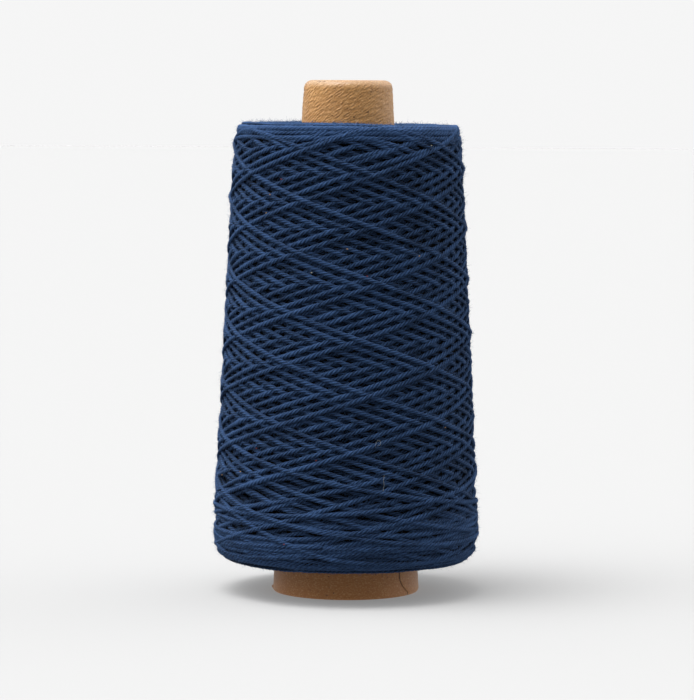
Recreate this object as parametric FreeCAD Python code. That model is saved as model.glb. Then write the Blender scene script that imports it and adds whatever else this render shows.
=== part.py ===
"""Cone of cotton yarn: a paper cone of glued plies, with one long strand cross-wound on it.

Millimetres, +Z up. The origin is on the cone's axis, in the plane of its wide open end.
The wide end stands on the floor and the rounded nose points up. The front faces -Y.
"""
import FreeCAD, Part
import math
import os

# Paper cone
CONE_LENGTH = 170.0
BASE_RADIUS = 24.4             # outside, at the wide end
HALF_ANGLE = 3.4               # degrees between the cone's side and its axis
PLY_THICKNESS = 0.7
INNER_PLY_COUNT = 2            # plies under the outer one
NOSE_ROUNDING = 2.8            # outer edge of the nose
THROAT_RADIUS = 10.75          # straight hole that the turned-in lip leaves
THROAT_LENGTH = 6.0
THROAT_ROUNDING = 0.8          # inner edge of the nose
RIM_DEPTH = 2.0                # how far the inner plies end below the nose

# Lap seam: the edge of the outer ply where it shows below the yarn
SEAM_ANGLE = 52.0              # degrees round from the front, towards +X
SEAM_HEIGHT = 3.5              # where the seam crosses that angle
SEAM_TILT = 40.0               # degrees from upright, leaning towards the front
SEAM_LENGTH = 20.0
SEAM_WIDTH = 0.25

# Wound yarn
YARN_BOTTOM = 11.0
YARN_TOP = 157.0
YARN_BOTTOM_RADIUS = 44.8
YARN_TOP_RADIUS = 37.6
BOTTOM_SHOULDER = 5.0
TOP_SHOULDER = 3.6
OUTER_LAYERS_DEPTH = 6.0       # radial depth of the last layers
TOP_EDGE_HEIGHT = 6.0          # height of the near-level turns at the top edge
BOTTOM_EDGE_HEIGHT = 11.0      # height of the near-level turns at the bottom edge

CONE_SLOPE = math.tan(math.radians(HALF_ANGLE))
YARN_SLOPE = (YARN_BOTTOM_RADIUS - YARN_TOP_RADIUS) / (YARN_TOP - YARN_BOTTOM)


def cone_radius(height, plies_in=0):
    """Radius of the cone's outside, or of the face that lies some plies in from it."""
    return BASE_RADIUS - height * CONE_SLOPE - plies_in * PLY_THICKNESS


def yarn_radius(height, depth=0.0):
    """Radius of the package's side, or of the face at a radial depth under it."""
    return YARN_BOTTOM_RADIUS - (height - YARN_BOTTOM) * YARN_SLOPE - depth


def towards(start, end, distance):
    """The point at a distance from start on the way to end."""
    step = end.sub(start)
    step.normalize()
    return start.add(step.multiply(distance))


def rounded_corner(before, corner, after, radius):
    """First, middle and last point of the arc that rounds a corner of an outline."""
    turn = before.sub(corner).getAngle(after.sub(corner))
    reach = radius / math.tan(turn / 2)
    first = towards(corner, before, reach)
    last = towards(corner, after, reach)
    centre_distance = radius / math.sin(turn / 2)
    middle_of_ends = first.add(last).multiply(0.5)
    middle = towards(corner, middle_of_ends, centre_distance - radius)
    return first, middle, last


def turned(outline):
    """Solid of revolution about Z from an outline of (radius, height, rounding) corners."""
    corners = [FreeCAD.Vector(radius, 0, height) for radius, height, _ in outline]
    roundings = [rounding for _, _, rounding in outline]
    ends = []
    edges = []
    for index, corner in enumerate(corners):
        before = corners[index - 1]
        after = corners[(index + 1) % len(corners)]
        if roundings[index] > 0:
            first, middle, last = rounded_corner(before, corner, after, roundings[index])
            edges.append(Part.Arc(first, middle, last).toShape())
        else:
            first = last = corner
        ends.append((first, last))
    for index, (_, last) in enumerate(ends):
        next_first = ends[(index + 1) % len(ends)][0]
        edges.append(Part.LineSegment(last, next_first).toShape())
    wire = Part.Wire(Part.__sortEdges__(edges))
    return Part.Face(wire).revolve(FreeCAD.Vector(0, 0, 0), FreeCAD.Vector(0, 0, 1), 360)


def under_ply(plies_in):
    """One of the plies under the outer one: a plain conical tube."""
    top = CONE_LENGTH - RIM_DEPTH
    return turned([
        (cone_radius(0, plies_in), 0, 0),
        (cone_radius(top, plies_in), top, 0),
        (cone_radius(top, plies_in + 1), top, 0),
        (cone_radius(0, plies_in + 1), 0, 0),
    ])


def seam_cutter():
    """Thin upright blade, leaned over and swung round to the lap seam."""
    blade = Part.makeBox(SEAM_WIDTH, BASE_RADIUS, SEAM_LENGTH)
    blade.translate(FreeCAD.Vector(-SEAM_WIDTH / 2, -BASE_RADIUS - 1, -SEAM_LENGTH / 2))
    blade.rotate(FreeCAD.Vector(0, 0, 0), FreeCAD.Vector(0, 1, 0), -SEAM_TILT)
    blade.translate(FreeCAD.Vector(0, 0, SEAM_HEIGHT))
    blade.rotate(FreeCAD.Vector(0, 0, 0), FreeCAD.Vector(0, 0, 1), SEAM_ANGLE)
    return blade


def outer_ply():
    """The outer ply, turned in over the plies below it to make the rounded nose and throat."""
    rim = CONE_LENGTH - RIM_DEPTH
    lip_end = CONE_LENGTH - THROAT_LENGTH
    inside = INNER_PLY_COUNT + 1
    ply = turned([
        (cone_radius(0), 0, 0),
        (cone_radius(CONE_LENGTH), CONE_LENGTH, NOSE_ROUNDING),
        (THROAT_RADIUS, CONE_LENGTH, THROAT_ROUNDING),
        (THROAT_RADIUS, lip_end, 0),
        (cone_radius(lip_end, inside), lip_end, 0),
        (cone_radius(rim, inside), rim, 0),
        (cone_radius(rim, 1), rim, 0),
        (cone_radius(0, 1), 0, 0),
    ])
    return ply.cut(seam_cutter())


def yarn_inner_layers():
    """The first layers of yarn, from the paper out to the last layers."""
    return turned([
        (cone_radius(YARN_BOTTOM), YARN_BOTTOM, 0),
        (yarn_radius(YARN_BOTTOM, OUTER_LAYERS_DEPTH), YARN_BOTTOM, 0),
        (yarn_radius(YARN_TOP, OUTER_LAYERS_DEPTH), YARN_TOP, 0),
        (cone_radius(YARN_TOP), YARN_TOP, 0),
    ])


def yarn_ring(bottom, top, bottom_rounding=0.0, top_rounding=0.0):
    """A ring of the last layers between two heights."""
    return turned([
        (yarn_radius(bottom, OUTER_LAYERS_DEPTH), bottom, 0),
        (yarn_radius(bottom), bottom, bottom_rounding),
        (yarn_radius(top), top, top_rounding),
        (yarn_radius(top, OUTER_LAYERS_DEPTH), top, 0),
    ])


def all_pieces():
    """Every piece by its name."""
    low_joint = YARN_BOTTOM + BOTTOM_EDGE_HEIGHT
    high_joint = YARN_TOP - TOP_EDGE_HEIGHT
    return {
        "cone_inner_ply": under_ply(2),
        "cone_middle_ply": under_ply(1),
        "cone_outer_ply": outer_ply(),
        "yarn_inner_layers": yarn_inner_layers(),
        "yarn_outer_layers": yarn_ring(low_joint, high_joint),
        "yarn_top_edge_turns": yarn_ring(high_joint, YARN_TOP, top_rounding=TOP_SHOULDER),
        "yarn_bottom_edge_turns": yarn_ring(YARN_BOTTOM, low_joint, BOTTOM_SHOULDER),
    }


os.makedirs("parts", exist_ok=True)
for name, piece in all_pieces().items():
    solid = piece.Solids[0] if len(piece.Solids) == 1 else piece
    solid.exportStep("parts/" + name + ".step")
    print(name, "volume", round(solid.Volume / 1000, 2), "cm3, valid", solid.isValid())
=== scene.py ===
"""Cone of navy cotton yarn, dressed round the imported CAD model.

Metres, +Z up, the front faces -Y. Angles round the cone start at the front and grow towards +X.
The yarn is wound turn by turn on a height field, so each strand lies on the ones laid before it.
"""

import math

import bpy
import numpy as np
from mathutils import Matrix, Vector, noise


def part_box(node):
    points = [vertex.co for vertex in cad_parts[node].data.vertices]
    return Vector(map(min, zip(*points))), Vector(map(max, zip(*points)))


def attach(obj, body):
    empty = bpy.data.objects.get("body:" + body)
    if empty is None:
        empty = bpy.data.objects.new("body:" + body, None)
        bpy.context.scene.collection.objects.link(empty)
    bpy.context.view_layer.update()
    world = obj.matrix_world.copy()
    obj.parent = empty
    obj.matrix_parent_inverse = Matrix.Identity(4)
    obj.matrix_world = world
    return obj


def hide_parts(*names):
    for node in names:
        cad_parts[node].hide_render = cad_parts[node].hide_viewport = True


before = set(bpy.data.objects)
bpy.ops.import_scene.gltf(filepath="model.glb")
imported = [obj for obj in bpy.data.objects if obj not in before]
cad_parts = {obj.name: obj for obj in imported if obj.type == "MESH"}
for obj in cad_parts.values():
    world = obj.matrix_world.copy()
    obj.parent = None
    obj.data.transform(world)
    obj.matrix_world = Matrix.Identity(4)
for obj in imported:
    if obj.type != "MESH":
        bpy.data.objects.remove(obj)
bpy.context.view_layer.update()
paper_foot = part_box("cone_outer_ply")[1].x       # outside radius of the paper at the floor

MM = 0.001
TURN = 2 * math.pi

# Yarn
STRAND_RADIUS = 0.86 * MM         # half its width where it lies pressed on the package
STRAND_DEPTH = 0.67 * MM          # half its height there
SINK = 0.28 * MM                  # how far a strand presses into the ones under it
PLY_COUNT = 4
TWIST_PITCH = 6.8 * MM            # length of one full turn of the plies
GROOVE_RADII = (1.0, 0.88, 0.62, 0.88)   # outline of one ply, from crest to crest

# Paper cone
HALF_ANGLE = 3.4                  # degrees
WALL = 0.7 * MM                   # one ply
NOSE_ROUNDING = 2.8 * MM
FOOT_WEAR = 0.35 * MM             # how far the outer edge of the foot is worn back
THROAT_RADIUS = 10.75 * MM
THROAT_LENGTH = 6.0 * MM
THROAT_ROUNDING = 0.8 * MM
PAPER_SIDES = 480
RIB_LENGTH = 1.9 * MM             # of the crepe ribs on the paper
RIB_SPACING = 0.38 * MM
RIB_HEIGHT = 0.18 * MM
RIB_SLOPE = 36.0                  # degrees from level, rising to the right
DENT_DEPTH = 0.12 * MM            # of the broad, shallow dents
NOSE_SWELL = 0.15 * MM            # how far the paper stands proud of the cone there
FOOT_SWELL = -0.1 * MM
SEAM_FOOT = (57.6, 1.05 * MM)     # degrees round, height: where the lap seam turns level
SEAM_LEAN = -3500.0               # degrees round for each metre up, at the foot
SEAM_BEND = 3.0e5                 # degrees round for each square metre up
SEAM_TOP = 5.8 * MM               # above this the seam runs straight up
LAP_STEP = 0.30 * MM
KRAFT_NOSE = (0.52, 0.268, 0.090, 1)
# painted shade: the foot's colour, darker, as under the yarn's overhang
KRAFT_FOOT_PAINTED_SHADE = (0.33, 0.130, 0.033, 1)
KRAFT_DARK = (0.30, 0.13, 0.042, 1)
KRAFT_PALE = (0.86, 0.58, 0.30, 1)
# painted shadow: the dark line beside the lap seam's step
KRAFT_SEAM_SHADOW = (0.045, 0.022, 0.011, 1)
KRAFT_EDGE_HIGHLIGHT = (0.30, 0.205, 0.125, 1)   # painted highlight: paler, at the rounded nose edge
KRAFT_DARK_FLECK = (0.07, 0.032, 0.014, 1)
KRAFT_PALE_FLECK = (0.66, 0.46, 0.26, 1)

# Package
BOTTOM_SHOULDER = 5.0 * MM
TOP_SHOULDER = 3.6 * MM

# Lint: degrees round, height, colour
LINT_COLOURS = {
    "pale_lint": (0.32, 0.33, 0.31, 1),
    "tan_lint": (0.30, 0.18, 0.09, 1),
    "red_lint": (0.16, 0.035, 0.03, 1),
}
SPECKS = (
    (-33.5, 0.138, "red_lint"), (-40.0, 0.133, "tan_lint"), (-42.0, 0.127, "tan_lint"),
    (35.5, 0.1135, "tan_lint"), (-16.6, 0.1083, "pale_lint"), (9.1, 0.1073, "red_lint"),
    (0.0, 0.116, "tan_lint"), (48.7, 0.0575, "tan_lint"), (-13.0, 0.048, "red_lint"),
    (-52.5, 0.0425, "tan_lint"), (-42.6, 0.0508, "red_lint"), (-69.7, 0.040, "tan_lint"),
    (-26.6, 0.0205, "red_lint"), (45.0, 0.149, "pale_lint"), (110.0, 0.09, "tan_lint"),
    (160.0, 0.12, "red_lint"), (-120.0, 0.06, "tan_lint"), (-150.0, 0.14, "pale_lint"),
)
LONG_HAIRS = (
    (13.6, 0.0535, ((-1.2, -1.0), (-0.6, 0.8), (0.6, 1.0), (0.9, -0.2), (-0.4, -0.6))),
    (15.6, 0.0400, ((0.0, -1.6), (0.4, 0.4), (0.2, 2.2), (0.6, 3.4))),
    (70.0, 0.1260, ((0.0, 0.0), (2.0, 0.6), (5.0, 0.2), (7.0, -0.8))),
)

# Winding
DOUBLE_STROKES = 92
RISE_UP = 86.5 * MM               # climb in one turn on the way up
RISE_DOWN = 91.7 * MM
CROSSING_COUNT = 5                # strokes side by side round the package before one repeats
TURNS_BEFORE_REPEAT = 22
REPEAT_SHIFT = 0.034              # part of a turn between one stroke and its next neighbour
LOW_TURNING_ZONE = 7.0 * MM       # height over which a strand bends level at the bottom edge
HIGH_TURNING_ZONE = 4.0 * MM
LOW_SPREAD = 21.0 * MM            # how much higher than the edge a strand may turn back
HIGH_SPREAD = 6.0 * MM
FIRST_ANGLE = -0.0112              # turns; where the winding starts
STEP = 0.375 * MM                 # spacing of the points along a strand
LOT_SIZE = 5600                   # sections in one piece of wound yarn
CELL = 0.42 * MM                  # size of the height field's cells
MEAN_RADIUS = 41.0 * MM           # of the package
BEND_RADIUS = 46.0 * MM           # of a strand that lies round the package
START_DEPTH = 4.3 * MM            # of the winding's first layer under the outline
END_DEPTH = 0.55 * MM
COTTON_COLOUR = (0.035, 0.078, 0.186, 1)
FUZZ_COLOUR = (0.050, 0.105, 0.22, 1)
GROOVE_PAINTED_SHADE = 0.28               # painted shade: share of the full colour deep between two plies
SIDE_PAINTED_SHADE = 0.45                 # painted shade: share of the full colour low on a strand's sides
TOP_PAINTED_HIGHLIGHT = 1.55                  # painted highlight: share of the full colour on the top edge
DEEP_PAINTED_SHADE = 0.38                 # painted shade: share of the full colour two layers down between the strands
FUZZ_COUNT = 46500
ARC_PITCH = 1.3 * MM              # between the turns that show on the end faces
TOP_SAG = 0.9 * MM                # how much lower the top edge lies on the right
HIGH_DWELL = 0.3415               # part of a turn that a strand runs level at the top edge

# Studio
CAMERA_LENS = 170.7               # mm
CAMERA_PLACE = (-0.0004, -1.1025, 0.1683)
CAMERA_TILT = 4.56                # degrees down
CAMERA_ROLL = -0.3                # degrees, because the photographed cone leans
STAGE_RADIUS = 8.0
FLOOR_REACH = 1.01                # the floor's radius, in stage radii
BACKGROUND = (0.918, 0.918, 0.918)
FLOOR_COLOUR = (0.273, 0.273, 0.273)   # so that the lit floor is as bright as the surround
FLOOR_OWN_LIGHT = 0.20            # of the lit floor, which also softens its shadows
FLOOR_GLOW = 0.48                 # light that comes up from the floor
LAMPS = (                         # role, degrees round, degrees up, strength, spread
    ("softbox overhead", 280, 75, 18.0, 30),
    ("window on the left", 285, 45, 3.5, 8),
    ("fill above the camera", 330, 65, 1.0, 12),
    ("window behind on the left", 220, 25, 1.5, 8),
    ("window behind on the right", 120, 30, 2.0, 4),
    ("low fill on the right", 85, 5, 0.5, 5),
    ("room", 0, 90, 0.6, 1),
)

rng = np.random.default_rng(11)


def smooth_noise(count, spacing, length):
    """Random values that change smoothly over about a given length."""
    knots = int(count * spacing / length) + 3
    values = rng.normal(0, 1, knots + 2)
    place = np.linspace(0, knots, count)
    left = place.astype(int)
    part = place - left
    part = part * part * (3 - 2 * part)
    return values[left] * (1 - part) + values[left + 1] * part


def blurred(values, width):
    """Gaussian blur of a line of values, width in samples."""
    reach = int(3 * width) + 1
    weights = np.exp(-0.5 * (np.arange(-reach, reach + 1) / width) ** 2)
    padded = np.pad(values, reach, mode="edge")
    return np.convolve(padded, weights / weights.sum(), mode="valid")


def taut(heights):
    """Line of a tight strand that rests on these heights and spans the hollows between them.

    A free span is straight in space, so over the round package it curves by 1 / radius.
    """
    way = np.arange(len(heights)) * STEP
    bow = way ** 2 / (2 * BEND_RADIUS)
    line = heights - bow
    kept = []
    for i in range(len(line)):
        while len(kept) > 1:
            a, b = kept[-2], kept[-1]
            if (line[b] - line[a]) * (i - a) > (line[i] - line[a]) * (b - a):
                break
            kept.pop()
        kept.append(i)
    return np.interp(np.arange(len(line)), kept, line[kept]) + bow


class Package:
    """Outline of the wound package, from the paper at the bottom to the paper at the top."""

    def __init__(self):
        inner_low, inner_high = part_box("yarn_inner_layers")
        side_low, side_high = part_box("yarn_outer_layers")
        edge_low, edge_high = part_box("yarn_top_edge_turns")
        paper_low, paper_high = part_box("cone_inner_ply")
        self.bottom, self.top = inner_low.z, inner_high.z
        self.slope = (side_high.x - edge_high.x) / (edge_low.z - side_low.z)
        self.side_start = (side_high.x, side_low.z)
        self.make_outline()

    def side(self, height):
        return self.side_start[0] - self.slope * (height - self.side_start[1])

    def make_outline(self):
        tilt = math.atan(self.slope)
        step = 0.2 * MM
        low_centre = self.shoulder_centre(BOTTOM_SHOULDER, self.bottom + BOTTOM_SHOULDER, tilt)
        high_centre = self.shoulder_centre(TOP_SHOULDER, self.top - TOP_SHOULDER, tilt)
        inner_bottom = cone_radius(self.bottom)
        inner_top = cone_radius(self.top)
        points = []
        angles = []
        for radius in np.arange(inner_bottom, low_centre[0], step):
            points.append((radius, self.bottom))
            angles.append(-math.pi / 2)
        for angle in np.arange(-math.pi / 2, tilt, step / BOTTOM_SHOULDER):
            points.append(on_arc(low_centre, BOTTOM_SHOULDER, angle))
            angles.append(angle)
        start = on_arc(low_centre, BOTTOM_SHOULDER, tilt)
        end = on_arc(high_centre, TOP_SHOULDER, tilt)
        self.side_range = [len(points)]
        for height in np.arange(start[1], end[1], step):
            points.append((self.side(height), height))
            angles.append(tilt)
        self.side_range.append(len(points))
        for angle in np.arange(tilt, math.pi / 2, step / TOP_SHOULDER):
            points.append(on_arc(high_centre, TOP_SHOULDER, angle))
            angles.append(angle)
        for radius in np.arange(high_centre[0], inner_top, -step):
            points.append((radius, self.top))
            angles.append(math.pi / 2)
        self.points = np.array(points)
        self.angles = np.array(angles)
        gaps = np.linalg.norm(np.diff(self.points, axis=0), axis=1)
        self.distance = np.concatenate([[0], np.cumsum(gaps)])
        self.length = self.distance[-1]
        self.low_edge = self.distance[self.side_range[0]]
        self.high_edge = self.distance[self.side_range[1]]

    def shoulder_centre(self, rounding, height, tilt):
        return (self.side(height) - rounding / math.cos(tilt), height)

    def at(self, along):
        """Radius, height and the normal's two parts at distances along the outline."""
        radius = np.interp(along, self.distance, self.points[:, 0])
        height = np.interp(along, self.distance, self.points[:, 1])
        angle = np.interp(along, self.distance, self.angles)
        return radius, height, np.cos(angle), np.sin(angle)


def on_arc(centre, radius, angle):
    return (centre[0] + radius * math.cos(angle), centre[1] + radius * math.sin(angle))


def cone_radius(height):
    """Outside radius of the paper cone at a height."""
    return paper_foot - height * math.tan(math.radians(HALF_ANGLE))


class HeightField:
    """Height of the wound yarn over the package's outline, round and along it."""

    def __init__(self, package):
        self.package = package
        self.round = int(TURN * package.side_start[0] / CELL)
        self.along = int(package.length / CELL) + 1
        self.height = np.full((self.round, self.along), -START_DEPTH - STRAND_RADIUS)
        share = np.linspace(-0.92, 0.92, 9)
        self.across = share * STRAND_RADIUS
        self.bulge = np.sqrt(1 - share ** 2) * STRAND_DEPTH

    def cells(self, angle, along):
        i = np.floor(angle / TURN * self.round).astype(int) % self.round
        j = np.clip((along / CELL).astype(int), 0, self.along - 1)
        return i, j

    def footprint(self, angle, along):
        """Cells under a strand, one set for each place across it."""
        radius = self.package.at(along)[0]
        forward = np.gradient(angle) * radius
        upward = np.gradient(along)
        length = np.hypot(forward, upward)
        side_round = -upward / length / radius
        side_along = forward / length
        return [self.cells(angle + side_round * u, along + side_along * u) for u in self.across]

    def lay(self, angle, along, level):
        """Lays a strand on the field under tension and returns the height of its middle.

        level is the height that the winding has reached: the strand keeps near it, nearer at
        the edges, where the turns pack beside each other.
        """
        footprint = self.footprint(angle, along)
        rest = np.full(len(angle), -1.0)
        for cells, bulge in zip(footprint, self.bulge):
            rest = np.maximum(rest, self.height[cells] + bulge)
        sunk = blurred(rest, 0.5 * MM / STEP) - SINK
        to_edge = np.minimum(along - self.package.low_edge, self.package.high_edge - along)
        drop = np.where(along > self.package.length / 2, 1.5 * MM, 0.8 * MM)
        level = level - np.interp(to_edge, [-4 * MM, 5 * MM], [1, 0]) * drop
        excess = taut(sunk) - level
        slow = blurred(excess, 9 * MM / STEP)
        slow_share = np.interp(to_edge, [0, 14 * MM], [0.12, 0.35])
        quick_share = np.interp(to_edge, [0, 14 * MM], [0.5, 0.85])
        middle = level + slow_share * slow + quick_share * (excess - slow)
        for cells, bulge in zip(footprint, self.bulge):
            np.maximum.at(self.height, cells, middle + bulge)
        return middle

    def bare(self, angle, along, middle):
        """True where a strand is still near the surface when everything is wound."""
        seen = np.zeros(len(angle), bool)
        for cells, bulge in zip(self.footprint(angle, along), self.bulge):
            seen |= self.height[cells] < middle + bulge + 0.25 * MM
        return seen


def stroke(low, high, rise, low_dwell):
    """One stroke from the low turning point to the high one: turns made, and way along."""
    zones = LOW_TURNING_ZONE + HIGH_TURNING_ZONE
    turns = (high - low + zones) / rise
    whole = turns + (low_dwell + HIGH_DWELL) / 2
    steps = int(whole * TURN * MEAN_RADIUS / STEP)
    made = np.linspace(0, whole, steps)
    place = np.clip(made - low_dwell / 2, 0, turns)
    low_end = 2 * LOW_TURNING_ZONE / rise
    high_end = turns - 2 * HIGH_TURNING_ZONE / rise
    along = low + LOW_TURNING_ZONE + rise * (place - low_end)
    bottom = place < low_end
    top = place > high_end
    along[bottom] = low + (rise * place[bottom]) ** 2 / (4 * LOW_TURNING_ZONE)
    along[top] = high - (rise * (turns - place[top])) ** 2 / (4 * HIGH_TURNING_ZONE)
    return made, along


def turned_early(along, low, high, low_lift, high_drop):
    """Bends the two ends of a stroke towards the middle, and leaves the middle as it is."""
    low_reach = 14 * MM + 2 * low_lift
    high_reach = 9 * MM + 2 * high_drop
    low_part = np.clip(1 - (along - low) / low_reach, 0, 1)
    high_part = np.clip(1 - (high - along) / high_reach, 0, 1)
    return along + low_lift * low_part ** 2 - high_drop * high_part ** 2


def wind(package):
    """Winds the package and returns the field and the strands, first to last."""
    field = HeightField(package)
    low = package.low_edge - 5.0 * MM
    high = package.high_edge + 2.9 * MM
    turns = (TURNS_BEFORE_REPEAT + REPEAT_SHIFT) / CROSSING_COUNT
    way = high - low + LOW_TURNING_ZONE + HIGH_TURNING_ZONE
    low_dwell = turns - HIGH_DWELL - way / RISE_UP - way / RISE_DOWN
    turned = FIRST_ANGLE
    low_lift = 0.0
    strands = []
    for number in range(2 * DOUBLE_STROKES):
        going_up = number % 2 == 0
        if going_up:
            high_drop = HIGH_SPREAD * rng.uniform() ** 2
            place, along = stroke(low, high, RISE_UP, low_dwell)
        else:
            low_lift = LOW_SPREAD * rng.uniform() ** 2.4
            place, along = stroke(low, high, RISE_DOWN, low_dwell)
            along = along[::-1]
        angle = (turned + place) * TURN
        turned += place[-1]
        along = turned_early(along, low, high, low_lift, high_drop)
        edge = np.clip(1 - (along - low) / (30 * MM), 0.12, 1)
        along = along + edge * smooth_noise(len(along), STEP, 40 * MM) * 0.8 * MM
        slack = np.sin(np.linspace(0, math.pi, len(along)))
        along = along + rng.normal(0, 0.15) * MM * np.sqrt(slack.clip(0))
        along = np.maximum(along, package.low_edge - 6.5 * MM)
        top_part = np.clip(1 - (high - along) / (12 * MM), 0, 1)
        along = along - top_part * top_sag(angle)
        done = number / (2 * DOUBLE_STROKES)
        level = -START_DEPTH + done * (START_DEPTH - END_DEPTH)
        strands.append((angle, along, field.lay(angle, along, level)))
    return field, strands


def top_sag(angle):
    """How much lower than on the left the top edge lies at an angle."""
    return TOP_SAG * np.clip(np.sin(angle), 0, 1)


def face_arcs(package, upper):
    """Turns that lie on an end face, as arcs whose ends dive under their neighbours."""
    face = package.top - 1.1 * MM if upper else package.bottom
    up = 1 if upper else -1
    inner = cone_radius(face) + 0.8 * MM
    outer = package.side(face) - (TOP_SHOULDER if upper else BOTTOM_SHOULDER) + 0.8 * MM
    runs = []
    for ring in np.arange(inner, outer, ARC_PITCH):
        begin = rng.uniform(0, TURN)
        count = rng.integers(2, 5)
        for part in range(count):
            span = TURN / count + 12 * MM / ring
            steps = int(span * ring / (2 * STEP))
            way = np.linspace(0, span, steps)
            from_end = np.minimum(way, span - way) * ring
            dive = np.clip(1 - from_end / (8 * MM), 0, 1) ** 2
            radius = ring + 0.3 * MM * smooth_noise(steps, 2 * STEP, 22 * MM) - 1.2 * MM * dive
            radius = np.maximum(radius, inner - 0.1 * MM)
            depth = 0.62 * MM + 0.14 * MM * smooth_noise(steps, 2 * STEP, 18 * MM) + 1.3 * MM * dive
            angle = begin + part * TURN / count + way
            height = face - up * np.maximum(depth, 0.45 * MM)
            if upper:
                height = height - top_sag(angle)
            points = np.stack([radius * np.sin(angle), -radius * np.cos(angle), height], 1)
            normals = np.tile([0.0, 0.0, float(up)], (steps, 1))
            runs.append((points, normals, rng.normal(0, 1), np.full(steps, 0.95)))
    return runs


def strand_mesh(name, runs):
    """Mesh of plied strands. A run is (points, normals, tone, shade)."""
    ring = PLY_COUNT * len(GROOVE_RADII)
    lobes = np.tile(GROOVE_RADII, PLY_COUNT) * STRAND_RADIUS
    spokes = np.arange(ring) / ring * TURN
    j = np.arange(ring)[None]
    k = (j + 1) % ring
    sheet = {key: [] for key in ("vertices", "fibres", "tones", "shades", "quads", "caps", "ways")}
    count = 0
    travelled = 0.0
    for points, normals, tone, shade in runs:
        n = len(points)
        tangent = np.gradient(points, axis=0)
        tangent /= np.linalg.norm(tangent, axis=1)[:, None]
        normals = normals - tangent * (normals * tangent).sum(1)[:, None]
        normals /= np.linalg.norm(normals, axis=1)[:, None]
        sides = np.cross(normals, tangent)
        steps = np.linalg.norm(np.diff(points, axis=0), axis=1)
        way = np.concatenate([[0], np.cumsum(steps)])
        spacing = way[-1] / n
        uneven = 1 + 0.065 * smooth_noise(n, spacing, 9 * MM)
        uneven += 0.045 * smooth_noise(n, spacing, 2.5 * MM)
        lag = 0.5 * smooth_noise(n, spacing, 15 * MM)
        angle = spokes[None] + (way / TWIST_PITCH * TURN + lag + rng.uniform(0, TURN))[:, None]
        reach = lobes[None] * uneven[:, None]
        flat = STRAND_DEPTH / STRAND_RADIUS
        offset = normals[:, None] * (np.cos(angle) * reach * flat)[..., None]
        offset += sides[:, None] * (np.sin(angle) * reach)[..., None]
        sheet["vertices"].append((points[:, None] + offset).reshape(-1, 3))
        along = np.broadcast_to((way + rng.uniform(0, 1))[:, None], angle.shape)
        straight = [along, np.cos(spokes)[None] * reach, np.sin(spokes)[None] * reach]
        sheet["fibres"].append(np.stack(straight, axis=-1).reshape(-1, 3))
        sheet["tones"].append(np.full(n * ring, tone))
        # painted shade: darker where the strand's surface turns away from the outside
        turned_out = np.cos(angle).clip(0)
        sheet["shades"].append((shade[:, None] * (SIDE_PAINTED_SHADE + (1 - SIDE_PAINTED_SHADE) * turned_out)).ravel())
        first = count + np.arange(n - 1)[:, None] * ring
        quad = np.stack([first + j, first + k, first + ring + k, first + ring + j], axis=-1)
        sheet["quads"].append(quad.reshape(-1, 4))
        sheet["caps"].append(count + np.arange(ring)[::-1])
        sheet["caps"].append(count + (n - 1) * ring + np.arange(ring))
        sheet["ways"].append(travelled + way)
        travelled += way[-1] + 1 * MM
        count += n * ring
    return build_mesh(name, sheet, ring, travelled)


def rows_of_uv(ways, ring, travelled):
    """UV of the strands' quads, laid in rows one above the other like a ribbon that is cut."""
    row_height = TURN * STRAND_RADIUS * 1.15
    row_length = math.sqrt(travelled * row_height)
    rows = math.ceil(travelled / row_length) + 1
    corners = []
    for way in ways:
        row = np.floor(way[:-1] / row_length)
        u0 = (way[:-1] - row * row_length) / row_length * 0.985
        u1 = (way[1:] - row * row_length) / row_length * 0.985
        v = (row[:, None] + 0.06 + 0.88 * np.arange(ring + 1)[None] / ring) / rows
        low, high = v[:, :-1], v[:, 1:]
        u0 = np.broadcast_to(u0[:, None], low.shape)
        u1 = np.broadcast_to(u1[:, None], low.shape)
        quad = np.stack([u0, low, u0, high, u1, high, u1, low], axis=-1)
        corners.append(quad.reshape(-1, 2))
    caps = np.zeros((2 * len(ways), ring, 2))
    return np.concatenate([np.concatenate(corners), caps.reshape(-1, 2)])


def build_mesh(title, sheet, ring, travelled):
    co = np.concatenate(sheet["vertices"]).astype(np.float32)
    quads = np.concatenate(sheet["quads"]).astype(np.int32)
    caps = np.array(sheet["caps"], np.int32)
    loops = np.concatenate([quads.ravel(), caps.ravel()])
    sizes = np.concatenate([np.full(len(quads), 4), np.full(len(caps), caps.shape[1])])
    starts = np.concatenate([[0], np.cumsum(sizes)[:-1]])
    mesh = bpy.data.meshes.new(title)
    mesh.vertices.add(len(co))
    mesh.vertices.foreach_set("co", co.ravel())
    mesh.loops.add(len(loops))
    mesh.loops.foreach_set("vertex_index", loops.astype(np.int32))
    mesh.polygons.add(len(sizes))
    mesh.polygons.foreach_set("loop_start", starts.astype(np.int32))
    mesh.update(calc_edges=True)
    mesh.shade_smooth()
    fibre = mesh.attributes.new("fibre", "FLOAT_VECTOR", "POINT")
    fibre.data.foreach_set("vector", np.concatenate(sheet["fibres"]).astype(np.float32).ravel())
    for name, key in (("tone", "tones"), ("shade", "shades")):
        layer = mesh.attributes.new(name, "FLOAT", "POINT")
        layer.data.foreach_set("value", np.concatenate(sheet[key]).astype(np.float32))
    layer = mesh.uv_layers.new(name="OFBake")
    uv = rows_of_uv(sheet["ways"], ring, travelled)
    layer.data.foreach_set("uv", uv.astype(np.float32).ravel())
    return linked(title, mesh)


def linked(name, mesh):
    piece = bpy.data.objects.new(name, mesh)
    bpy.context.scene.collection.objects.link(piece)
    return piece


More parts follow.
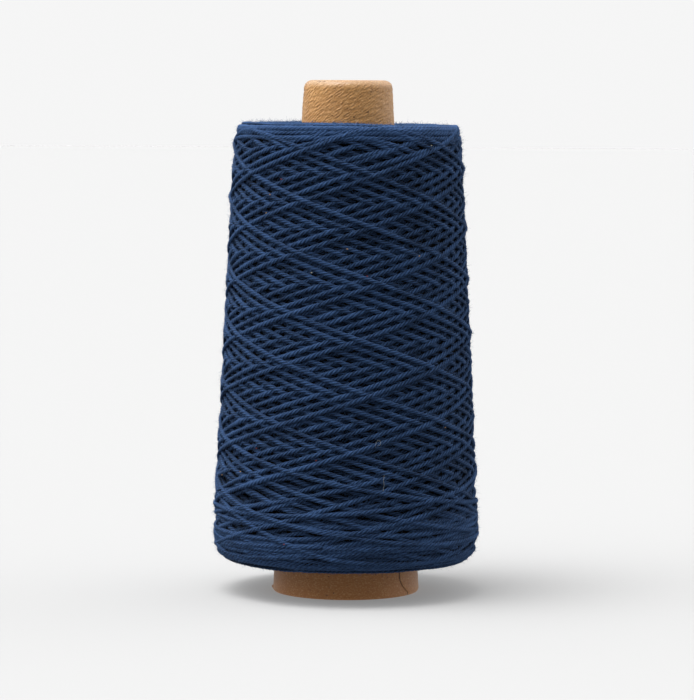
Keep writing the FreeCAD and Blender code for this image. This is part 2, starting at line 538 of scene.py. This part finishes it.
def strand_runs(package, field, strands):
    """The stretches of each strand that can be seen, as points and normals."""
    pad = int(1.5 * MM / STEP)
    groups = []
    for angle, along, middle in strands:
        seen = field.bare(angle, along, middle)
        seen = np.convolve(seen, np.ones(2 * pad + 1), mode="same") > 0
        edges = np.flatnonzero(np.diff(np.concatenate([[0], seen.astype(int), [0]])))
        radius, height, out, up = package.at(along)
        r = radius + out * middle
        points = np.stack([r * np.sin(angle), -r * np.cos(angle), height + up * middle], 1)
        normals = np.stack([out * np.sin(angle), -out * np.cos(angle), up], 1)
        tone = rng.normal(0, 1)
        to_edge = np.minimum(along - package.low_edge, package.high_edge - along)
        near_edge = np.interp(to_edge, [-4 * MM, 8 * MM], [1, 0])
        # painted shade: the deeper a turn lies under the outside, the darker it is
        depth = -middle - 0.6 * MM - 1.2 * MM * near_edge
        shade = np.interp(depth, [0.1 * MM, 1.6 * MM], [1.0, DEEP_PAINTED_SHADE])
        # painted highlight: lighter on the top edge, where the light from above falls
        shade *= np.interp(package.high_edge - along, [-1 * MM, 4 * MM], [TOP_PAINTED_HIGHLIGHT, 1])
        runs = []
        for a, b in zip(edges[::2], edges[1::2]):
            if b - a > 8:
                pick = np.arange(a, b, 2)
                runs.append((points[pick], normals[pick], tone, shade[pick]))
        groups.append(runs)
    return groups


class Nodes:
    """Short ways to add shader nodes and link them."""

    def __init__(self, material):
        material.use_nodes = True
        self.tree = material.node_tree
        self.shader = self.tree.nodes["Principled BSDF"]

    def put(self, value, socket):
        if isinstance(value, (int, float, tuple)):
            socket.default_value = value
        else:
            self.tree.links.new(value, socket)

    def attribute(self, name, output):
        node = self.tree.nodes.new("ShaderNodeAttribute")
        node.attribute_name = name
        return node.outputs[output]

    def maths(self, operation, *values):
        node = self.tree.nodes.new("ShaderNodeMath")
        node.operation = operation
        for socket, value in zip(node.inputs, values):
            self.put(value, socket)
        return node.outputs[0]

    def scaled(self, vector, scale):
        node = self.tree.nodes.new("ShaderNodeVectorMath")
        node.operation = "MULTIPLY"
        self.put(vector, node.inputs[0])
        node.inputs[1].default_value = scale
        return node.outputs[0]

    def size_of(self, vector):
        node = self.tree.nodes.new("ShaderNodeVectorMath")
        node.operation = "LENGTH"
        self.put(vector, node.inputs[0])
        return node.outputs["Value"]

    def noise(self, vector, scale, detail=3.0, roughness=0.5):
        node = self.tree.nodes.new("ShaderNodeTexNoise")
        self.put(vector, node.inputs["Vector"])
        node.inputs["Scale"].default_value = scale
        node.inputs["Detail"].default_value = detail
        node.inputs["Roughness"].default_value = roughness
        return node.outputs["Fac"]

    def spread(self, value, low, high, to_low, to_high):
        node = self.tree.nodes.new("ShaderNodeMapRange")
        self.put(value, node.inputs["Value"])
        for name, number in (("From Min", low), ("From Max", high),
                             ("To Min", to_low), ("To Max", to_high)):
            node.inputs[name].default_value = number
        return node.outputs["Result"]

    def mix(self, share, first, second, blend="MIX"):
        node = self.tree.nodes.new("ShaderNodeMix")
        node.data_type = "RGBA"
        node.blend_type = blend
        self.put(share, node.inputs["Factor"])
        self.put(first, node.inputs["A"])
        self.put(second, node.inputs["B"])
        return node.outputs["Result"]

    def bump(self, height, distance, strength=1.0):
        node = self.tree.nodes.new("ShaderNodeBump")
        self.put(height, node.inputs["Height"])
        node.inputs["Distance"].default_value = distance
        node.inputs["Strength"].default_value = strength
        self.tree.links.new(node.outputs[0], self.shader.inputs["Normal"])


def cotton():
    """Plied cotton: fibres run along the plies, with painted shade in the grooves between them."""
    material = bpy.data.materials.new("navy_cotton")
    add = Nodes(material)
    fibre = add.attribute("fibre", "Vector")
    tone = add.attribute("tone", "Fac")
    streaks = add.noise(add.scaled(fibre, (300, 7000, 7000)), 1.0, 3.0, 0.6)
    clumps = add.noise(add.scaled(fibre, (500, 1800, 1800)), 1.0, 2.0)
    # painted shade: the colour darkens towards the grooves between the plies
    groove = add.size_of(add.scaled(fibre, (0, 1 / STRAND_RADIUS, 1 / STRAND_RADIUS)))
    light = add.spread(groove, GROOVE_RADII[2], 1.0, GROOVE_PAINTED_SHADE, 1.0)
    light = add.maths("MULTIPLY", light, add.spread(streaks, 0.25, 0.75, 0.55, 1.45))
    light = add.maths("MULTIPLY", light, add.spread(clumps, 0.3, 0.7, 0.75, 1.25))
    light = add.maths("MULTIPLY", light, add.spread(tone, -2.0, 2.0, 0.9, 1.1))
    # painted shade and highlight, carried per point in the shade attribute
    light = add.maths("MULTIPLY", light, add.attribute("shade", "Fac"))
    colour = add.mix(light, (0, 0, 0, 1), COTTON_COLOUR)
    add.put(colour, add.shader.inputs["Base Color"])
    add.shader.inputs["Roughness"].default_value = 0.95
    add.shader.inputs["Specular IOR Level"].default_value = 0.15
    add.shader.inputs["Sheen Weight"].default_value = 0.06
    add.shader.inputs["Sheen Roughness"].default_value = 0.4
    add.shader.inputs["Sheen Tint"].default_value = (0.45, 0.65, 1.0, 1)
    add.bump(streaks, 0.05 * MM)
    return material


def plain(name, colour, roughness=0.9):
    material = bpy.data.materials.new(name)
    material.use_nodes = True
    shader = material.node_tree.nodes["Principled BSDF"]
    shader.inputs["Base Color"].default_value = colour
    shader.inputs["Roughness"].default_value = roughness
    shader.inputs["Specular IOR Level"].default_value = 0.1
    return material


def kraft():
    """Brown paper: mottled, with dark and pale fibre flecks."""
    material = bpy.data.materials.new("kraft_paper")
    add = Nodes(material)
    place = add.tree.nodes.new("ShaderNodeTexCoord").outputs["Object"]
    cloud = add.noise(add.scaled(place, (110, 110, 110)), 1.0, 4.0, 0.6)
    grain = add.noise(add.scaled(place, (1500, 1500, 2300)), 1.0, 3.0, 0.6)
    fleck = add.noise(add.scaled(place, (620, 620, 900)), 1.0, 2.0, 0.55)
    parts = add.tree.nodes.new("ShaderNodeSeparateXYZ")
    add.put(place, parts.inputs[0])
    # painted shade: darker at the foot, the full colour at the nose
    base = add.mix(add.spread(parts.outputs["Z"], 0.02, 0.14, 0.0, 1.0), KRAFT_FOOT_PAINTED_SHADE, KRAFT_NOSE)
    # painted highlight: paler over the rounded nose edge
    base = add.mix(add.spread(parts.outputs["Z"], 0.1672, 0.1692, 0.0, 0.8), base, KRAFT_EDGE_HIGHLIGHT)
    colour = add.mix(add.spread(cloud, 0.3, 0.7, 0.0, 0.42), base, KRAFT_DARK)
    colour = add.mix(add.spread(grain, 0.5, 0.78, 0.0, 0.35), colour, KRAFT_PALE)
    colour = add.mix(add.spread(grain, 0.46, 0.22, 0.0, 0.55), colour, KRAFT_DARK)
    colour = add.mix(add.spread(fleck, 0.66, 0.73, 0.0, 0.75), colour, KRAFT_DARK_FLECK)
    colour = add.mix(add.spread(fleck, 0.29, 0.22, 0.0, 0.6), colour, KRAFT_PALE_FLECK)
    # painted shadow along the lap seam, on the foot
    colour = add.mix(seam_shadow_line(add, parts), colour, KRAFT_SEAM_SHADOW)
    add.put(colour, add.shader.inputs["Base Color"])
    add.put(add.spread(grain, 0.3, 0.7, 0.36, 0.5), add.shader.inputs["Roughness"])
    add.shader.inputs["Specular IOR Level"].default_value = 0.38
    add.bump(grain, 0.03 * MM)
    return material


def seam_shadow_line(add, parts):
    """1 on the painted shadow along the edge of the lap seam, 0 elsewhere."""
    angle = add.maths("ARCTAN2", parts.outputs["X"], add.maths("MULTIPLY", parts.outputs["Y"], -1.0))
    rise = add.maths("SUBTRACT", parts.outputs["Z"], SEAM_FOOT[1])
    rise = add.maths("MINIMUM", add.maths("MAXIMUM", rise, 0.0), SEAM_TOP)
    lean = add.maths("MULTIPLY", rise, math.radians(SEAM_LEAN))
    bend = add.maths("MULTIPLY", add.maths("MULTIPLY", rise, rise), math.radians(SEAM_BEND))
    seam = add.maths("ADD", add.maths("ADD", lean, bend), math.radians(SEAM_FOOT[0]))
    past = add.maths("ABSOLUTE", add.maths("SUBTRACT", angle, seam))
    line = add.spread(past, 0.10 * MM / paper_foot, 0.2 * MM / paper_foot, 0.9, 0.0)
    return add.maths("MULTIPLY", line, add.maths("LESS_THAN", parts.outputs["Z"], 0.02))


def arc_of(centre, radius, start, end, count):
    angles = np.linspace(start, end, count)
    return np.stack([centre[0] + radius * np.cos(angles), centre[1] + radius * np.sin(angles)], 1)


def line_of(start, end, step):
    count = max(2, int(math.dist(start, end) / step))
    return np.linspace(start, end, count, endpoint=False)


def paper_outline(top, lean):
    """Outline of the outer ply, from its outer bottom edge up, over the nose and back down inside."""
    fine = 0.22 * MM
    nose = (cone_radius(top - NOSE_ROUNDING) - NOSE_ROUNDING / math.cos(lean), top - NOSE_ROUNDING)
    lip = (THROAT_RADIUS + THROAT_ROUNDING, top - THROAT_ROUNDING)
    start = on_arc(nose, NOSE_ROUNDING, lean)
    hidden = (14 * MM, 150 * MM)      # heights that the yarn covers
    outside = [(cone_radius(0), 0.0), (cone_radius(hidden[0]), hidden[0]),
               (cone_radius(hidden[1]), hidden[1]), start]
    lip_end = top - THROAT_LENGTH
    inside = [(THROAT_RADIUS, lip_end), (cone_radius(lip_end) - 3 * WALL, lip_end),
              (cone_radius(top - 2 * MM) - 3 * WALL, top - 2 * MM),
              (cone_radius(top - 2 * MM) - WALL, top - 2 * MM), (cone_radius(0) - WALL, 0.0)]
    parts = [line_of(outside[0], outside[1], fine), line_of(outside[1], outside[2], 12 * MM),
             line_of(outside[2], outside[3], fine),
             arc_of(nose, NOSE_ROUNDING, lean, math.pi / 2, 18),
             line_of((nose[0], top), (lip[0], top), 0.3 * MM)[1:],
             arc_of(lip, THROAT_ROUNDING, math.pi / 2, math.pi, 7),
             line_of((THROAT_RADIUS, lip[1]), inside[0], 1 * MM)[1:]]
    for corner, after in zip(inside[:-1], inside[1:]):
        parts.append(line_of(corner, after, 20 * MM))
    parts.append(line_of(inside[-1], outside[0], WALL / 3))
    return np.concatenate(parts)


def paper_relief(angle, height):
    """How far the paper's outside stands out, in metres, at degrees round and a height."""
    slope = math.radians(RIB_SLOPE)
    radius = cone_radius(height)

    def ribs(turned):
        around = math.radians(turned) * radius
        along = around * math.cos(slope) + height * math.sin(slope)
        across = height * math.cos(slope) - around * math.sin(slope)
        wave = noise.noise(Vector((along / RIB_LENGTH, across / RIB_SPACING, 0.0)))
        small = noise.noise(Vector((along / RIB_LENGTH * 2.3, across / RIB_SPACING * 2.1, 9.0)))
        return wave + 0.45 * small

    share = min(max((abs(angle) - 165) / 15, 0), 1) / 2
    value = ribs(angle)
    if share > 0:
        other = angle - 360 if angle > 0 else angle + 360
        value = value * (1 - share) + ribs(other) * share
    at_nose = height > 0.1
    strength = 1.0 if at_nose else 0.45
    way = math.radians(angle)
    spot = Vector((math.sin(way) * radius, math.cos(way) * radius, height))
    broad = noise.noise(spot / (11 * MM))
    swell = NOSE_SWELL if at_nose else FOOT_SWELL
    return RIB_HEIGHT * strength * value + DENT_DEPTH * broad + swell


def lap(angle, height):
    """Step of the outer ply's overlap, highest at the seam, gone a fifth of a turn on."""
    rise = min(height - SEAM_FOOT[1], SEAM_TOP)
    seam = SEAM_FOOT[0] + rise * SEAM_LEAN + rise ** 2 * SEAM_BEND
    past = (angle - seam) * math.radians(1) * 24 * MM
    step = np.clip(past / (0.12 * MM), 0, 1) * np.clip(1 - past / (28 * MM), 0, 1)
    return LAP_STEP * step * np.clip((height - 0.75 * MM) / (0.15 * MM), 0, 1)


def outer_ply():
    """The outer ply with its crepe ribs, its lap seam and the nick at its foot."""
    low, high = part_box("cone_outer_ply")
    outline = paper_outline(high.z, math.radians(HALF_ANGLE))
    gaps = np.gradient(outline, axis=0)
    normals = np.stack([gaps[:, 1], -gaps[:, 0]], 1)
    normals /= np.linalg.norm(normals, axis=1)[:, None]
    n = len(outline)
    last_outer = int(np.argmin(np.abs(outline[:, 0] - THROAT_RADIUS - 1.2 * MM)
                               + 9 * (outline[:, 1] < high.z - 0.1 * MM)))
    degrees = (np.arange(PAPER_SIDES) / PAPER_SIDES * 360 + 180) % 360 - 180
    rise = np.zeros((PAPER_SIDES, n))
    for j in range(last_outer):
        r, z = outline[j]
        if 0.02 < z < 0.149:
            continue
        fade = min(1, (last_outer - j) / 12) if z > 0.16 else min(1, 0.25 + z / (1 * MM))
        rise[:, j] = [paper_relief(angle, z) * fade for angle in degrees]
        if z < 0.02:
            rise[:, j] += lap(degrees, z)
            across = (degrees + 86) * math.radians(1) * 24 / 0.9
            rise[:, j] -= 0.8 * MM * np.exp(-across ** 2 - ((z / MM - 2.5) / 0.5) ** 2)
            rise[:, j] += 0.6 * MM * np.exp(-across ** 2 - ((z / MM - 1.2) / 0.5) ** 2)
            rise[:, j] -= FOOT_WEAR * max(0, 1 - z / FOOT_WEAR)
    r = outline[:, 0] + normals[:, 0] * rise
    z = outline[:, 1] + normals[:, 1] * rise
    z = np.where(outline[:, 1] < 0.3 * MM, outline[:, 1], z)
    angle = np.radians(degrees)[:, None]
    co = np.stack([r * np.sin(angle), -r * np.cos(angle), z], -1)
    return ring_mesh("paper_outer_ply", co)


def core_mesh(package, field):
    """Closed body just under the turns that show, so no light comes through the winding; it is black,
    painted shade of the deeper turns.
    """
    low = field.height.copy()
    for shift in range(1, 5):
        for axis in (0, 1):
            for way in (shift, -shift):
                low = np.minimum(low, np.roll(field.height, way, axis))
    for axis in (0, 1):
        low = sum(np.roll(low, shift, axis) for shift in range(-4, 5)) / 9
    sides, rows = 300, 200
    along = np.linspace(0, package.length, rows)
    radius, height, out, up = package.at(along)
    side = np.minimum(along - package.low_edge, package.high_edge - along) / (5 * MM)
    share = np.clip(1 + side, 0, 1)
    edge = np.where(along > package.high_edge, -2.5 * MM, -1.3 * MM)
    i = (np.arange(sides) * field.round / sides).astype(int)
    j = np.clip((along / CELL).astype(int), 5, field.along - 6)
    depth = np.minimum(low[np.ix_(i, j)] - 0.35 * MM, -1.3 * MM)
    depth = share * depth + (1 - share) * edge
    angle = np.arange(sides)[:, None] / sides * TURN
    r = radius + out * depth
    z = height + up * depth
    co = np.stack([r * np.sin(angle), -r * np.cos(angle), z], -1)
    return ring_mesh("yarn_core_painted_shade", co)


def ring_mesh(name, co):
    """Mesh of closed outlines set round the axis. co is sides by points by 3."""
    sides, n = co.shape[:2]
    i = np.arange(sides)[:, None]
    j = np.arange(n)[None]
    a, b = i * n, (i + 1) % sides * n
    k = (j + 1) % n
    faces = np.stack([a + j, b + j, b + k, a + k], axis=-1).reshape(-1, 4)
    mesh = bpy.data.meshes.new(name)
    mesh.from_pydata(co.reshape(-1, 3).tolist(), [], faces.tolist())
    mesh.shade_smooth()
    steps = np.linalg.norm(co[0, np.r_[1:n, 0]] - co[0], axis=1)
    way = np.concatenate([[0], np.cumsum(np.minimum(steps, 4 * MM))])
    v = way / way[-1] * 0.98 + 0.01
    u = np.arange(sides + 1) / sides * 0.98 + 0.01
    v0, v1 = np.broadcast_arrays(v[None, :-1], v[None, 1:])
    v0, v1 = (np.broadcast_to(edge, (sides, n)) for edge in (v0, v1))
    u0 = np.broadcast_to(u[:-1, None], (sides, n))
    u1 = np.broadcast_to(u[1:, None], (sides, n))
    uv = np.stack([u0, v0, u1, v0, u1, v1, u0, v1], axis=-1)
    mesh.uv_layers.new(name="OFBake").data.foreach_set("uv", uv.astype(np.float32).ravel())
    return linked(name, mesh)


def hairs(name, roots, thickness, bend):
    """Thin three-sided hairs. A root is (point, direction, outward, length)."""
    points, directions, outwards, lengths = (np.array(part) for part in zip(*roots))
    n = len(points)
    share = np.array([0, 0.5, 1.0])
    sideways = np.cross(directions, outwards)
    curl = sideways * (rng.normal(0, bend, n) * lengths)[:, None]
    droop = outwards * (rng.normal(0, bend * 0.5, n) * lengths)[:, None]
    path = points[:, None] + directions[:, None] * (lengths[:, None] * share)[..., None]
    path = path + (curl + droop)[:, None] * (share ** 2)[None, :, None]
    width = thickness * np.array([1.0, 0.8, 0.3])
    first = np.cross(directions, sideways)
    first /= np.linalg.norm(first, axis=1)[:, None]
    second = np.cross(directions, first)
    second /= np.linalg.norm(second, axis=1)[:, None]
    corners = []
    for corner in range(3):
        angle = corner / 3 * TURN
        aim = first * math.cos(angle) + second * math.sin(angle)
        corners.append(path + aim[:, None] * width[None, :, None])
    co = np.stack(corners, axis=2).reshape(-1, 3)
    base = np.arange(n)[:, None] * 9
    faces = []
    for section in range(2):
        for corner in range(3):
            after = (corner + 1) % 3
            a, b = section * 3 + corner, section * 3 + after
            faces.append(base + np.array([[a, b, b + 3, a + 3]]))
    faces = np.stack(faces, axis=1).reshape(-1, 4)
    mesh = bpy.data.meshes.new(name)
    mesh.from_pydata(co.tolist(), [], faces.tolist())
    mesh.shade_smooth()
    return linked(name, mesh)


def fuzz_roots(runs, count):
    """Places on the strands where loose fibre ends stand out."""
    lengths = np.array([len(run[0]) for run in runs], float)
    picks = rng.choice(len(runs), count, p=lengths / lengths.sum())
    roots = []
    for pick in picks:
        points, normals = runs[pick][:2]
        at = rng.integers(1, len(points) - 1)
        tangent = points[at + 1] - points[at - 1]
        tangent /= np.linalg.norm(tangent)
        side = np.cross(normals[at], tangent)
        across = rng.uniform(-0.8, 0.8)
        rise = math.sqrt(1 - across ** 2)
        point = points[at] + side * across * STRAND_RADIUS + normals[at] * rise * STRAND_DEPTH
        outward = normals[at] * rise + side * across
        way = rng.choice([-1, 1]) * tangent + outward * abs(rng.normal(0.4, 0.4))
        way = way + side * rng.normal(0, 0.5)
        way /= np.linalg.norm(way)
        roots.append((point - outward * 0.05 * MM, way, outward, rng.uniform(0.5, 1.9) * MM))
    return roots


def lint(package):
    """Specks of seed and coloured fibre caught in the yarn."""
    specks = []
    for degrees, height, colour in SPECKS:
        angle = math.radians(degrees)
        r = package.side(height) + 0.25 * MM
        bpy.ops.mesh.primitive_ico_sphere_add(
            subdivisions=2, radius=0.23 * MM,
            location=(r * math.sin(angle), -r * math.cos(angle), height))
        speck = bpy.context.object
        speck.scale = (1.4, 0.7, 0.8)
        speck.rotation_euler = (0, rng.uniform(-0.5, 0.5), angle)
        speck.name = "lint_speck_%d" % (len(specks) + 1)
        speck.data.materials.append(colour_of(colour))
        specks.append(speck)
    return specks


def colour_of(name):
    made = bpy.data.materials.get(name)
    return made or plain(name, LINT_COLOURS[name])


def long_hair(name, package, degrees, height, path):
    """One loose hair just off the yarn. path holds its points as (degrees, mm up) from its place."""
    curve = bpy.data.curves.new(name, "CURVE")
    curve.dimensions = "3D"
    curve.bevel_depth = 0.035 * MM
    curve.bevel_resolution = 1
    spline = curve.splines.new("BEZIER")
    spline.bezier_points.add(len(path) - 1)
    for point, (turn, rise) in zip(spline.bezier_points, path):
        angle = math.radians(degrees + turn)
        z = height + rise * MM
        r = package.side(z) + 0.8 * MM
        point.co = (r * math.sin(angle), -r * math.cos(angle), z)
        point.handle_left_type = point.handle_right_type = "AUTO"
    hair = bpy.data.objects.new(name, curve)
    bpy.context.scene.collection.objects.link(hair)
    bpy.context.view_layer.objects.active = hair
    hair.select_set(True)
    bpy.ops.object.convert(target="MESH")
    hair = bpy.context.object
    hair.select_set(False)
    hair.data.materials.append(colour_of("pale_lint"))
    return hair


def make_yarn():
    package = Package()
    field, strands = wind(package)
    material = cotton()
    fuzz = plain("cotton_fuzz", FUZZ_COLOUR)
    lots = []
    size = 0
    for group in strand_runs(package, field, strands):
        for run in group:
            if size == 0:
                lots.append([])
            lots[-1].append(run)
            size += len(run[0])
            if size > LOT_SIZE:
                size = 0
    pieces = {"yarn_turns_%d" % (i + 1): lot for i, lot in enumerate(lots)}
    pieces["yarn_top_face"] = face_arcs(package, True)
    pieces["yarn_bottom_face"] = face_arcs(package, False)
    made = []
    for name, runs in pieces.items():
        piece = strand_mesh(name, runs)
        piece.data.materials.append(material)
        made.append(piece)
    core = core_mesh(package, field)
    # with no shade attribute the cotton material comes out black here: painted shade
    core.data.materials.append(material)
    made.append(core)
    everything = [run for runs in pieces.values() for run in runs]
    for number in (1, 2, 3):
        roots = fuzz_roots(everything, FUZZ_COUNT // 3)
        piece = hairs("yarn_fuzz_%d" % number, roots, 0.03 * MM, 0.5)
        piece.data.materials.append(fuzz)
        made.append(piece)
    made += lint(package)
    for number, (degrees, height, path) in enumerate(LONG_HAIRS):
        made.append(long_hair("loose_hair_%d" % (number + 1), package, degrees, height, path))
    for piece in made:
        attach(piece, "root")
    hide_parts("yarn_inner_layers", "yarn_outer_layers",
                "yarn_top_edge_turns", "yarn_bottom_edge_turns")


def make_camera():
    camera = bpy.data.cameras.new("camera")
    camera.lens = CAMERA_LENS
    camera.clip_end = 100
    thing = bpy.data.objects.new("camera", camera)
    thing.location = CAMERA_PLACE
    thing.rotation_euler = (math.radians(90 - CAMERA_TILT), math.radians(CAMERA_ROLL), 0)
    bpy.context.scene.collection.objects.link(thing)
    bpy.context.scene.camera = thing


def make_stage():
    """A round white floor, and a plain bright surround that only the camera sees."""
    bpy.ops.mesh.primitive_circle_add(vertices=96, radius=FLOOR_REACH * STAGE_RADIUS, fill_type="NGON")
    floor = bpy.context.object
    floor.name = "floor"
    floor.data.materials.append(floor_material("floor", FLOOR_COLOUR))
    bpy.ops.mesh.primitive_uv_sphere_add(segments=64, ring_count=32, radius=STAGE_RADIUS)
    surround = bpy.context.object
    surround.name = "surround"
    surround.data.materials.append(glowing_material("surround", BACKGROUND))
    surround.visible_shadow = False
    for thing in (floor, surround):
        thing.visible_diffuse = False
        thing.visible_glossy = False


def floor_material(name, colour):
    material = bpy.data.materials.new(name)
    material.use_nodes = True
    shader = material.node_tree.nodes["Principled BSDF"]
    shader.inputs["Base Color"].default_value = (*colour, 1)
    shader.inputs["Roughness"].default_value = 1.0
    shader.inputs["Specular IOR Level"].default_value = 0.0
    shader.inputs["Emission Color"].default_value = (1, 1, 1, 1)
    shader.inputs["Emission Strength"].default_value = FLOOR_OWN_LIGHT
    return material


def glowing_material(name, colour):
    material = bpy.data.materials.new(name)
    material.use_nodes = True
    nodes = material.node_tree.nodes
    nodes.remove(nodes["Principled BSDF"])
    glow = nodes.new("ShaderNodeEmission")
    glow.inputs["Color"].default_value = (*colour, 1)
    material.node_tree.links.new(glow.outputs[0], nodes["Material Output"].inputs["Surface"])
    return material


def make_light():
    """Soft lamps painted on the sky: each is a bright spot of a direction, strength and spread."""
    world = bpy.data.worlds.new("studio")
    world.use_nodes = True
    bpy.context.scene.world = world
    tree = world.node_tree
    ray = tree.nodes.new("ShaderNodeTexCoord").outputs["Generated"]

    def maths(operation, first, second):
        node = tree.nodes.new("ShaderNodeMath")
        node.operation = operation
        for socket, value in zip(node.inputs, (first, second)):
            if isinstance(value, (int, float)):
                socket.default_value = value
            else:
                tree.links.new(value, socket)
        return node.outputs[0]

    def facing(direction):
        node = tree.nodes.new("ShaderNodeVectorMath")
        node.operation = "DOT_PRODUCT"
        tree.links.new(ray, node.inputs[0])
        node.inputs[1].default_value = direction
        return node.outputs["Value"]

    total = 0.0
    for role, azimuth, elevation, strength, spread in LAMPS:
        a, e = math.radians(azimuth), math.radians(elevation)
        towards = (math.sin(a) * math.cos(e), -math.cos(a) * math.cos(e), math.sin(e))
        lobe = maths("POWER", maths("MAXIMUM", facing(towards), 0.0), spread)
        total = maths("ADD", maths("MULTIPLY", lobe, strength), total)
    above = maths("GREATER_THAN", facing((0, 0, 1)), 0.0)
    below = maths("MULTIPLY", maths("SUBTRACT", 1.0, above), FLOOR_GLOW)
    sky = maths("ADD", maths("MULTIPLY", total, above), below)
    tree.nodes["Background"].inputs["Color"].default_value = (1, 1, 1, 1)
    tree.links.new(sky, tree.nodes["Background"].inputs["Strength"])


kraft_paper = kraft()
for name in ("cone_inner_ply", "cone_middle_ply", "cone_outer_ply"):
    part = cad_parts[name]
    part.data.materials.clear()
    part.data.materials.append(kraft_paper)
ply = outer_ply()
ply.data.materials.append(kraft_paper)
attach(ply, "root")
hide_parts("cone_outer_ply")
make_camera()
make_stage()
make_light()
make_yarn()
bpy.context.scene.view_settings.view_transform = "Standard"
